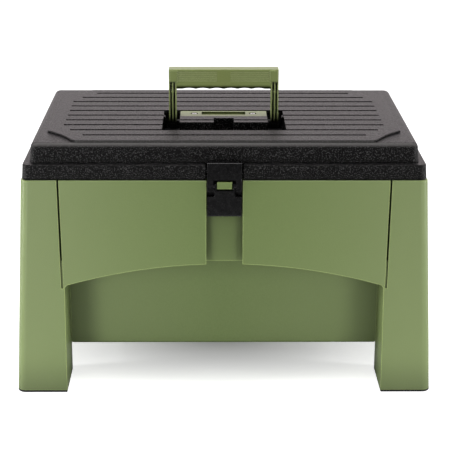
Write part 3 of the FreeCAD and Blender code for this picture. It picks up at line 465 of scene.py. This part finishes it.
# the moulder's small edge radii: flat facets joined, then every sharp edge rounded
edges = {
    "radiiMm": {
        "stool_body": 0.8,
        "lid": 0.4,
        "handle_retainer": 0.3,
        "carry_handle": 0.45,
        "latch_bracket": 0.4,
        "latch_lever": 0.5,
        "retainer_screws": 0.2,
    },
    "weldMm": 0.002,
    "flatDegrees": 0.4,          # facets that turn less than this are one face
    "sharpDegrees": 32.0,        # edges that turn more than this are rounded
    "segments": 2,
    "normalWeight": 100,
}


def softenEdges(piece, radiusMm, settings):
    weld = piece.modifiers.new("weldFacets", "WELD")
    weld.merge_threshold = settings["weldMm"] * mm
    flat = piece.modifiers.new("joinFlats", "DECIMATE")
    flat.decimate_type = "DISSOLVE"
    flat.angle_limit = math.radians(settings["flatDegrees"])
    edge = piece.modifiers.new("edgeRadius", "BEVEL")
    edge.width = radiusMm * mm
    edge.segments = settings["segments"]
    edge.limit_method = "ANGLE"
    edge.angle_limit = math.radians(settings["sharpDegrees"])
    edge.use_clamp_overlap = True
    shadeSmooth(piece, settings["normalWeight"])


# smooth shading, with the large flat faces kept flat
def shadeSmooth(piece, weight):
    for polygon in piece.data.polygons:
        polygon.use_smooth = True
    smooth = piece.modifiers.new("faceNormals", "WEIGHTED_NORMAL")
    smooth.weight = weight


for name, radiusMm in edges["radiiMm"].items():
    softenEdges(nodes[name], radiusMm, edges)
print("edges rounded")

# nose of the catch: fills the lever's window, so that it looks snapped shut
catchNose = {
    "acrossMm": (-7.1, 7.1),
    "deepMm": (-129.9, -126.3),
    "highMm": (203.8, 210.9),
    "edgeMm": 0.5,
    "edgeSegments": 3,
    "edgeProfile": 0.5,          # a plain quarter round
}


def makeCatchNose(settings):
    shape = bmesh.new()
    corners = [
        shape.verts.new((x * mm, y * mm, z * mm))
        for z in settings["highMm"] for y in settings["deepMm"] for x in settings["acrossMm"]
    ]
    lowAndTop = ((0, 2, 3, 1), (4, 5, 7, 6))
    frontAndBack = ((0, 1, 5, 4), (2, 6, 7, 3))
    leftAndRight = ((0, 4, 6, 2), (1, 3, 7, 5))
    for face in lowAndTop + frontAndBack + leftAndRight:
        shape.faces.new([corners[i] for i in face])
    bmesh.ops.bevel(
        shape, geom=shape.edges[:], affect="EDGES", offset=settings["edgeMm"] * mm,
        segments=settings["edgeSegments"], profile=settings["edgeProfile"],
    )
    mesh = bpy.data.meshes.new("catchNose")
    shape.to_mesh(mesh)
    shape.free()
    mesh.materials.append(finishes["green_plastic"])
    piece = bpy.data.objects.new("catchNose", mesh)
    scene.collection.objects.link(piece)
    shadeSmooth(piece, edges["normalWeight"])
    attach(piece, "stool")


makeCatchNose(catchNose)
print("catch nose added")

# studio: a white table that ends just in front of the view,
# low softboxes left and right of the camera, one at each side and one overhead
studio = {
    "floorBack": 6.0,
    "floorFront": -0.55,
    "floorHalf": 6.0,
    "floorColour": "#f1f1f1",
    "floorLift": (0.12, 0.85),   # white added for the camera: less under the stool, a painted shadow there, and more away from it
    "liftReach": (0.0, 0.13),    # metres from the middle
    "liftSqueeze": (0.45, 1.0, 1.0),
    "roomLevel": (0.1, 0.45),    # what the room gives matt faces, from in front and from behind
    "roomColour": "#ffffff",
    "mirrorLevel": (0.05, 1.4),  # what glossy faces mirror, in front and behind
    "mirrorColour": "#fff5f7",
    "levelSpan": (-0.6, 0.6),    # how far forward and back a direction leans where levels end
}
softboxes = {
    "lowLeft": {
        "at": (-0.62, -1.15, 0.13), "aim": (0.0, -0.1, 0.12), "size": (0.3, 0.4), "watts": 3.7,
    },
    "lowRight": {
        "at": (0.68, -1.15, 0.13), "aim": (0.0, -0.1, 0.12), "size": (0.3, 0.4), "watts": 2.3,
    },
    "sideLeft": {
        "at": (-1.1, -0.25, 0.3), "aim": (0.0, -0.1, 0.15), "size": (0.1, 0.8), "watts": 7.5,
    },
    "sideRight": {
        "at": (1.1, -0.25, 0.3), "aim": (0.0, -0.1, 0.15), "size": (0.1, 0.8), "watts": 6.0,
    },
    "overhead": {
        "at": (-0.1, -0.2, 1.8), "aim": (0.0, 0.0, 0.2), "size": (1.4, 0.9), "watts": 15.5,
    },
}


def makeFloor(settings):
    half, near, far = settings["floorHalf"], settings["floorFront"], settings["floorBack"]
    mesh = bpy.data.meshes.new("floorTable")
    corners = [(-half, near, 0), (half, near, 0), (half, far, 0), (-half, far, 0)]
    mesh.from_pydata(corners, [], [(0, 1, 2, 3)])
    floor = bpy.data.objects.new("floorTable", mesh)
    scene.collection.objects.link(floor)
    material, tree = newMaterial("paperWhite")
    matt = addNode(tree, "BsdfDiffuse", {"Color": hexColour(settings["floorColour"])})
    place = addNode(tree, "TexCoord").outputs["Object"]
    squeezed = addNode(tree, "VectorMath", {
        0: place, 1: settings["liftSqueeze"],
    }, operation="MULTIPLY")
    away = addNode(tree, "VectorMath", {0: squeezed.outputs["Vector"]}, operation="LENGTH")
    # less white under the stool, a painted shadow
    lift = addNode(tree, "MapRange", {
        "Value": away.outputs["Value"],
        "From Min": settings["liftReach"][0], "From Max": settings["liftReach"][1],
        "To Min": settings["floorLift"][0], "To Max": settings["floorLift"][1],
    })
    path = addNode(tree, "LightPath")
    seen = addNode(tree, "Math", {
        0: path.outputs["Is Camera Ray"], 1: path.outputs["Is Transmission Ray"],
    }, operation="MAXIMUM")
    strength = addNode(tree, "Math", {
        0: lift.outputs[0], 1: seen.outputs[0],
    }, operation="MULTIPLY")
    glow = addNode(tree, "Emission", {
        "Color": hexColour(settings["roomColour"]), "Strength": strength.outputs[0],
    })
    both = addNode(tree, "AddShader", {0: matt.outputs[0], 1: glow.outputs[0]})
    finishMaterial(tree, both)
    mesh.materials.append(material)


def makeWorld(settings):
    world = bpy.data.worlds.new("studioRoom")
    scene.world = world
    world.use_nodes = True
    tree = world.node_tree
    tree.nodes.clear()
    direction = addNode(tree, "TexCoord").outputs["Generated"]
    depth = addNode(tree, "SeparateXYZ", {"Vector": direction}).outputs["Y"]
    levels = {}
    for use in ("roomLevel", "mirrorLevel"):
        levels[use] = addNode(tree, "MapRange", {
            "Value": depth,
            "From Min": settings["levelSpan"][0], "From Max": settings["levelSpan"][1],
            "To Min": settings[use][0], "To Max": settings[use][1],
        })
    path = addNode(tree, "LightPath")
    seen = addNode(tree, "Math", {
        0: path.outputs["Is Camera Ray"], 1: path.outputs["Is Transmission Ray"],
    }, operation="MAXIMUM")
    level = addNode(tree, "Mix", {
        "Factor": path.outputs["Is Glossy Ray"],
        "A": levels["roomLevel"].outputs[0],
        "B": levels["mirrorLevel"].outputs[0],
    })
    strength = addNode(tree, "Mix", {
        "Factor": seen.outputs[0], "A": level.outputs["Result"], "B": 1.0,
    })
    colour = addNode(tree, "Mix", {
        "Factor": path.outputs["Is Glossy Ray"],
        "A": hexColour(settings["roomColour"]),
        "B": hexColour(settings["mirrorColour"]),
    }, data_type="RGBA")
    glow = addNode(tree, "Background", {
        "Color": colour.outputs["Result"], "Strength": strength.outputs["Result"],
    })
    addNode(tree, "OutputWorld", {"Surface": glow.outputs[0]})


def makeSoftbox(name, settings):
    lamp = bpy.data.lights.new(name, "AREA")
    lamp.shape = "RECTANGLE"
    lamp.size, lamp.size_y = settings["size"]
    lamp.energy = settings["watts"]
    box = bpy.data.objects.new(name, lamp)
    box.visible_camera = False
    box.location = settings["at"]
    ahead = Vector(settings["aim"]) - box.location
    box.rotation_euler = ahead.to_track_quat("-Z", "Y").to_euler()
    scene.collection.objects.link(box)


makeFloor(studio)
makeWorld(studio)
for name, settings in softboxes.items():
    makeSoftbox(name, settings)
print("studio lit")

# camera as the photograph has it: long lens, a little above the lid, almost square on
cameraSetup = {
    "at": (-0.014, -1.449, 0.5788),
    "lens": 116.56,
    "sensor": 36.0,
    "pitchDown": 17.27,
    "yawRight": 0.63,
    "roll": 0.17,
    "clipEnd": 50.0,
}


def makeCamera(settings):
    pitch, yaw, roll = (math.radians(settings[k]) for k in ("pitchDown", "yawRight", "roll"))
    level = math.cos(pitch)
    ahead = Vector((math.sin(yaw) * level, math.cos(yaw) * level, -math.sin(pitch)))
    right = Vector((math.cos(yaw), -math.sin(yaw), 0.0))
    up = right.cross(ahead)
    turnedRight = math.cos(roll) * right + math.sin(roll) * up
    turnedUp = math.cos(roll) * up - math.sin(roll) * right
    data = bpy.data.cameras.new("photoCamera")
    data.lens = settings["lens"]
    data.sensor_width = settings["sensor"]
    data.clip_end = settings["clipEnd"]
    camera = bpy.data.objects.new("photoCamera", data)
    turn = Matrix((turnedRight, turnedUp, -ahead)).transposed().to_4x4()
    camera.matrix_world = Matrix.Translation(settings["at"]) @ turn
    scene.collection.objects.link(camera)
    scene.camera = camera


makeCamera(cameraSetup)
scene.view_settings.view_transform = "Standard"
print("camera set")
